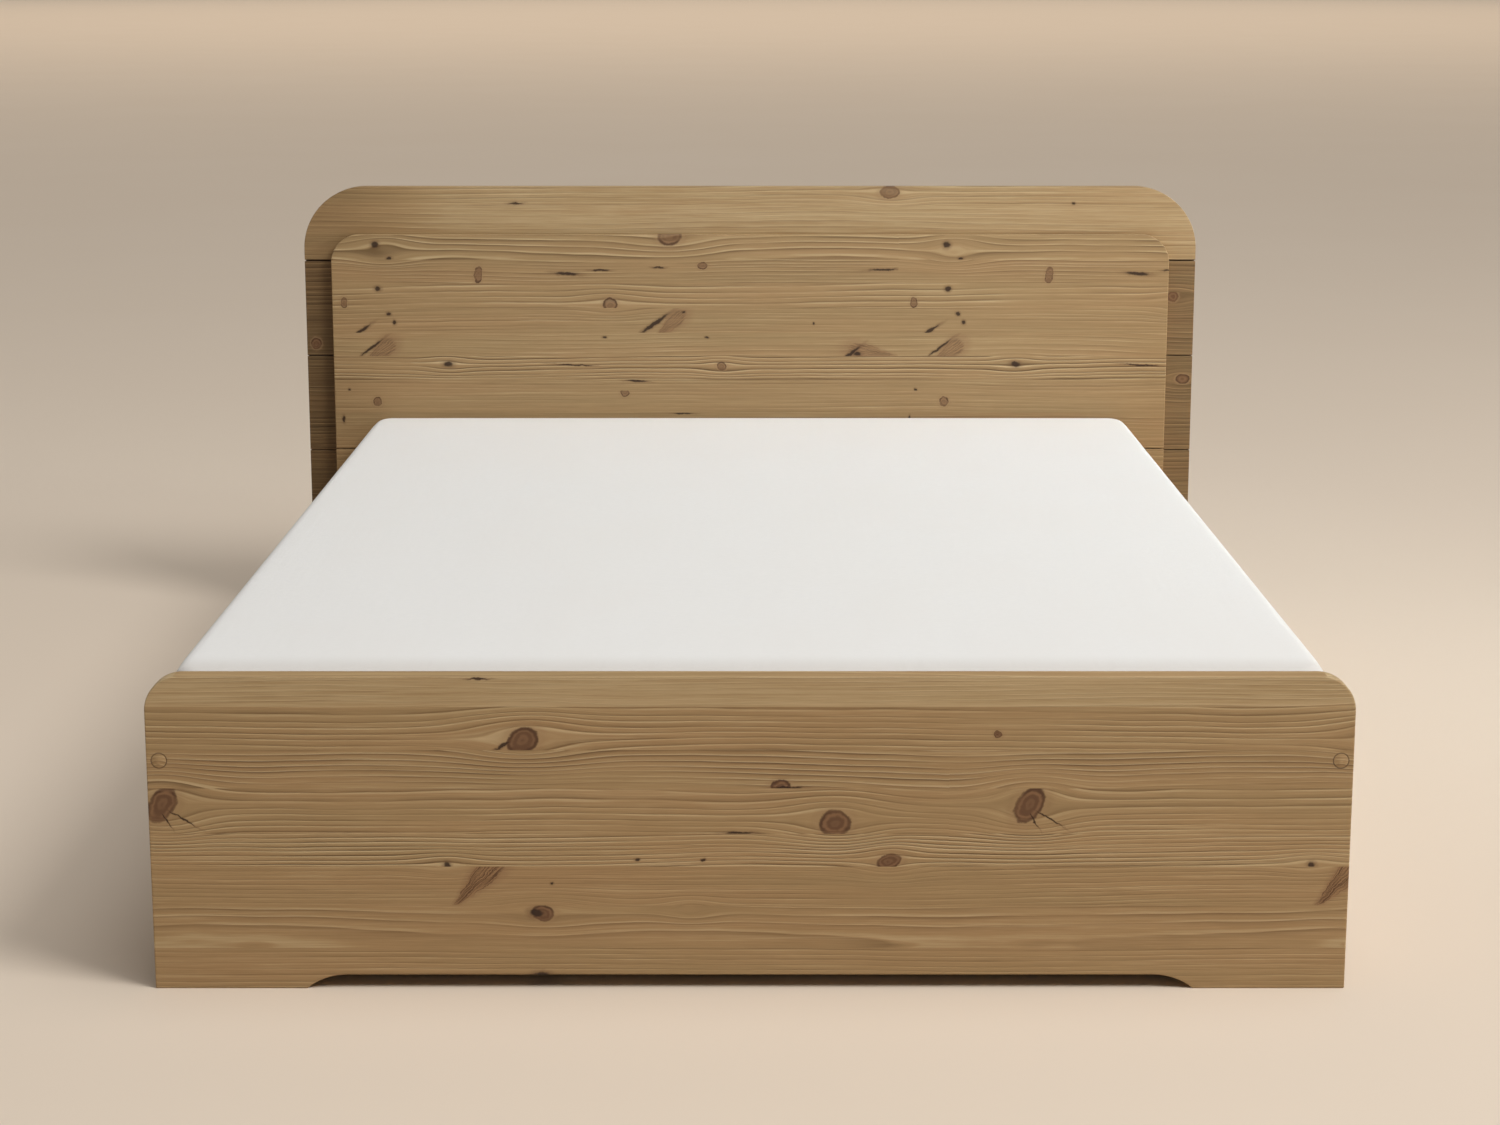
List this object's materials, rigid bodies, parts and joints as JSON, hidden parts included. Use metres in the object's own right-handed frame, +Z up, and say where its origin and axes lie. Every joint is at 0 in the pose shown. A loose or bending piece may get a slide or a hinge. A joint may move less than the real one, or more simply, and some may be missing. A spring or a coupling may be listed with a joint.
{
  "type": "storage bed",
  "caption": "Pine double bed with a solid arched footboard, a layered headboard, slats, a mattress and storage drawers on castors under its side rails.",
  "frame": {"origin": "middle of the bed's footprint, on the floor", "axes": "+X to the right seen from the foot of the bed, +Y from the footboard to the headboard, +Z up"},
  "size_m": [1.92, 2.116, 0.95],
  "materials": {
    "headboard_pine": "satin",
    "footboard_pine": "satin",
    "rail_pine": "satin",
    "slat_pine": "satin",
    "drawer_front_pine": "satin",
    "drawer_box_pine": "satin",
    "plug_pine": "satin",
    "dowel_wood": "satin",
    "steel": "satin",
    "wheel_plastic": "matte",
    "mattress_cloth": "matte"
  },
  "bodies": {
    "bed_frame": {"headboard_top_board": "headboard_pine", "headboard_upper_board": "headboard_pine", "headboard_middle_board": "headboard_pine", "headboard_lower_board": "headboard_pine", "headboard_front_panel": "headboard_pine", "headboard_front_lower_panel": "headboard_pine", "headboard_left_post": "headboard_pine", "headboard_centre_post": "headboard_pine", "headboard_right_post": "headboard_pine", "headboard_screws": "steel", "footboard": "footboard_pine", "footboard_plugs": "plug_pine", "left_side_rail": "rail_pine", "right_side_rail": "rail_pine", "left_slat_ledge": "slat_pine", "right_slat_ledge": "slat_pine", "ledge_screws": "steel", "rail_bolts": "steel", "rail_barrel_nuts": "steel", "rail_dowels": "dowel_wood", "centre_beam": "slat_pine", "beam_brackets": "steel", "bracket_screws": "steel", "foot_centre_leg": "slat_pine", "head_centre_leg": "slat_pine", "slats": "slat_pine", "slat_screws": "steel", "mattress": "mattress_cloth"},
    "left_foot_drawer": {"left_foot_drawer_front": "drawer_front_pine", "left_foot_drawer_foot_side": "drawer_box_pine", "left_foot_drawer_head_side": "drawer_box_pine", "left_foot_drawer_back": "drawer_box_pine", "left_foot_drawer_bottom": "drawer_box_pine", "left_foot_drawer_castors": "steel"},
    "left_foot_drawer_outer_wheels": {"left_foot_drawer_outer_wheels": "wheel_plastic"},
    "left_foot_drawer_inner_wheels": {"left_foot_drawer_inner_wheels": "wheel_plastic"},
    "left_head_drawer": {"left_head_drawer_front": "drawer_front_pine", "left_head_drawer_foot_side": "drawer_box_pine", "left_head_drawer_head_side": "drawer_box_pine", "left_head_drawer_back": "drawer_box_pine", "left_head_drawer_bottom": "drawer_box_pine", "left_head_drawer_castors": "steel"},
    "left_head_drawer_outer_wheels": {"left_head_drawer_outer_wheels": "wheel_plastic"},
    "left_head_drawer_inner_wheels": {"left_head_drawer_inner_wheels": "wheel_plastic"},
    "right_foot_drawer": {"right_foot_drawer_front": "drawer_front_pine", "right_foot_drawer_foot_side": "drawer_box_pine", "right_foot_drawer_head_side": "drawer_box_pine", "right_foot_drawer_back": "drawer_box_pine", "right_foot_drawer_bottom": "drawer_box_pine", "right_foot_drawer_castors": "steel"},
    "right_foot_drawer_outer_wheels": {"right_foot_drawer_outer_wheels": "wheel_plastic"},
    "right_foot_drawer_inner_wheels": {"right_foot_drawer_inner_wheels": "wheel_plastic"},
    "right_head_drawer": {"right_head_drawer_front": "drawer_front_pine", "right_head_drawer_foot_side": "drawer_box_pine", "right_head_drawer_head_side": "drawer_box_pine", "right_head_drawer_back": "drawer_box_pine", "right_head_drawer_bottom": "drawer_box_pine", "right_head_drawer_castors": "steel"},
    "right_head_drawer_outer_wheels": {"right_head_drawer_outer_wheels": "wheel_plastic"},
    "right_head_drawer_inner_wheels": {"right_head_drawer_inner_wheels": "wheel_plastic"}
  },
  "joints": [
    {"name": "left_foot_drawer_slide", "type": "slide", "parent": "bed_frame", "child": "left_foot_drawer", "axis": [-1, 0, 0], "range_m": [0, 0.6]},
    {"name": "left_foot_drawer_outer_roll", "type": "hinge", "parent": "left_foot_drawer", "child": "left_foot_drawer_outer_wheels", "pos_m": [-0.7495, -0.525, 0.02], "axis": [0, 1, 0], "continuous": true},
    {"name": "left_foot_drawer_inner_roll", "type": "hinge", "parent": "left_foot_drawer", "child": "left_foot_drawer_inner_wheels", "pos_m": [-0.0848, -0.525, 0.02], "axis": [0, 1, 0], "continuous": true},
    {"name": "left_head_drawer_slide", "type": "slide", "parent": "bed_frame", "child": "left_head_drawer", "axis": [-1, 0, 0], "range_m": [0, 0.6]},
    {"name": "left_head_drawer_outer_roll", "type": "hinge", "parent": "left_head_drawer", "child": "left_head_drawer_outer_wheels", "pos_m": [-0.7495, 0.479, 0.02], "axis": [0, 1, 0], "continuous": true},
    {"name": "left_head_drawer_inner_roll", "type": "hinge", "parent": "left_head_drawer", "child": "left_head_drawer_inner_wheels", "pos_m": [-0.0848, 0.479, 0.02], "axis": [0, 1, 0], "continuous": true},
    {"name": "right_foot_drawer_slide", "type": "slide", "parent": "bed_frame", "child": "right_foot_drawer", "axis": [1, 0, 0], "range_m": [0, 0.6]},
    {"name": "right_foot_drawer_outer_roll", "type": "hinge", "parent": "right_foot_drawer", "child": "right_foot_drawer_outer_wheels", "pos_m": [0.7495, -0.525, 0.02], "axis": [0, 1, 0], "continuous": true},
    {"name": "right_foot_drawer_inner_roll", "type": "hinge", "parent": "right_foot_drawer", "child": "right_foot_drawer_inner_wheels", "pos_m": [0.0848, -0.525, 0.02], "axis": [0, 1, 0], "continuous": true},
    {"name": "right_head_drawer_slide", "type": "slide", "parent": "bed_frame", "child": "right_head_drawer", "axis": [1, 0, 0], "range_m": [0, 0.6]},
    {"name": "right_head_drawer_outer_roll", "type": "hinge", "parent": "right_head_drawer", "child": "right_head_drawer_outer_wheels", "pos_m": [0.7495, 0.479, 0.02], "axis": [0, 1, 0], "continuous": true},
    {"name": "right_head_drawer_inner_roll", "type": "hinge", "parent": "right_head_drawer", "child": "right_head_drawer_inner_wheels", "pos_m": [0.0848, 0.479, 0.02], "axis": [0, 1, 0], "continuous": true}
  ],
  "couplings": [
    {"joint": "left_foot_drawer_outer_roll", "follows": "left_foot_drawer_slide", "rad_per_m": -50},
    {"joint": "left_foot_drawer_inner_roll", "follows": "left_foot_drawer_slide", "rad_per_m": -50},
    {"joint": "left_head_drawer_outer_roll", "follows": "left_head_drawer_slide", "rad_per_m": -50},
    {"joint": "left_head_drawer_inner_roll", "follows": "left_head_drawer_slide", "rad_per_m": -50},
    {"joint": "right_foot_drawer_outer_roll", "follows": "right_foot_drawer_slide", "rad_per_m": 50},
    {"joint": "right_foot_drawer_inner_roll", "follows": "right_foot_drawer_slide", "rad_per_m": 50},
    {"joint": "right_head_drawer_outer_roll", "follows": "right_head_drawer_slide", "rad_per_m": 50},
    {"joint": "right_head_drawer_inner_roll", "follows": "right_head_drawer_slide", "rad_per_m": 50}
  ]
}
